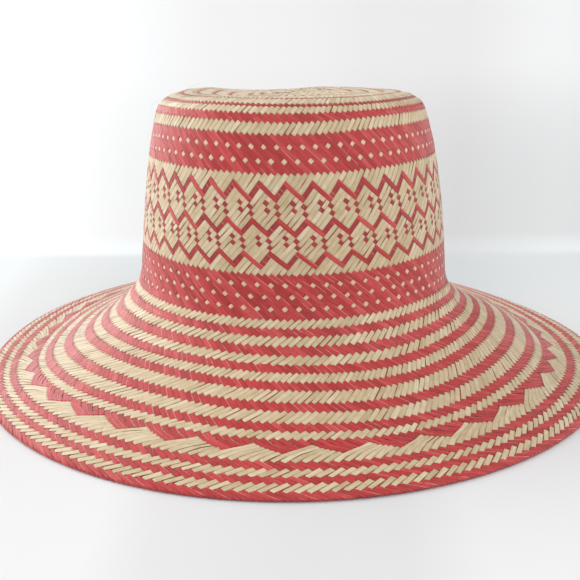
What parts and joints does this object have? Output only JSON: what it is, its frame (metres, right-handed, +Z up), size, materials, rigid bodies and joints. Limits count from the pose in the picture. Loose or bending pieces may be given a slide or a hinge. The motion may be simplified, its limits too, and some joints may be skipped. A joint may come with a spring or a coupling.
{
  "type": "plaited straw sun hat",
  "caption": "Hand-plaited straw sun hat with a round crown, a flat tip and a wide brim that slopes down, in natural and red straw with rings, diamonds and triangles.",
  "frame": {"origin": "centre of the ground plane under the hat, where the rim rests", "axes": "+Z up through the crown, -Y towards the front of the hat as shown"},
  "size_m": [0.3886, 0.3886, 0.1725],
  "materials": {
    "natural_straw": "plaited natural straw, satin along the fibre",
    "red_straw": "plaited dyed red straw with a few pale edges"
  },
  "bodies": {
    "root": {"plaited_hat": "natural_straw"}
  },
  "joints": []
}
